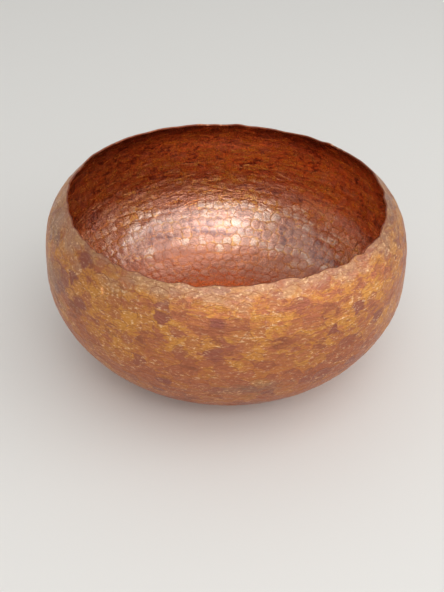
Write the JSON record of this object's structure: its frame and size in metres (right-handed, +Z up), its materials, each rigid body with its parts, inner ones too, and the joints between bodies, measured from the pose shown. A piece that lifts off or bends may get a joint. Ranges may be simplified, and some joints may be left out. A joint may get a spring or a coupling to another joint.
{
  "type": "hammered copper bowl",
  "caption": "Round bowl raised from one sheet of copper, with a flat foot, a swelling hammered wall and a slightly narrower mouth with a wavy raw edge.",
  "frame": {"origin": "centre of the flat foot, on the surface that the bowl stands on", "axes": "+Z up along the bowl's own axis; +X and +Y lie in the surface it stands on, and the bowl is round, so they only place the waves of its edge"},
  "size_m": [0.23, 0.23, 0.1173],
  "materials": {
    "copper": "hand-hammered copper: warm tan and rose, satin outside and glossier inside, with darker heat colours in the hammer marks"
  },
  "bodies": {
    "root": {"bowl": "copper"}
  },
  "joints": []
}
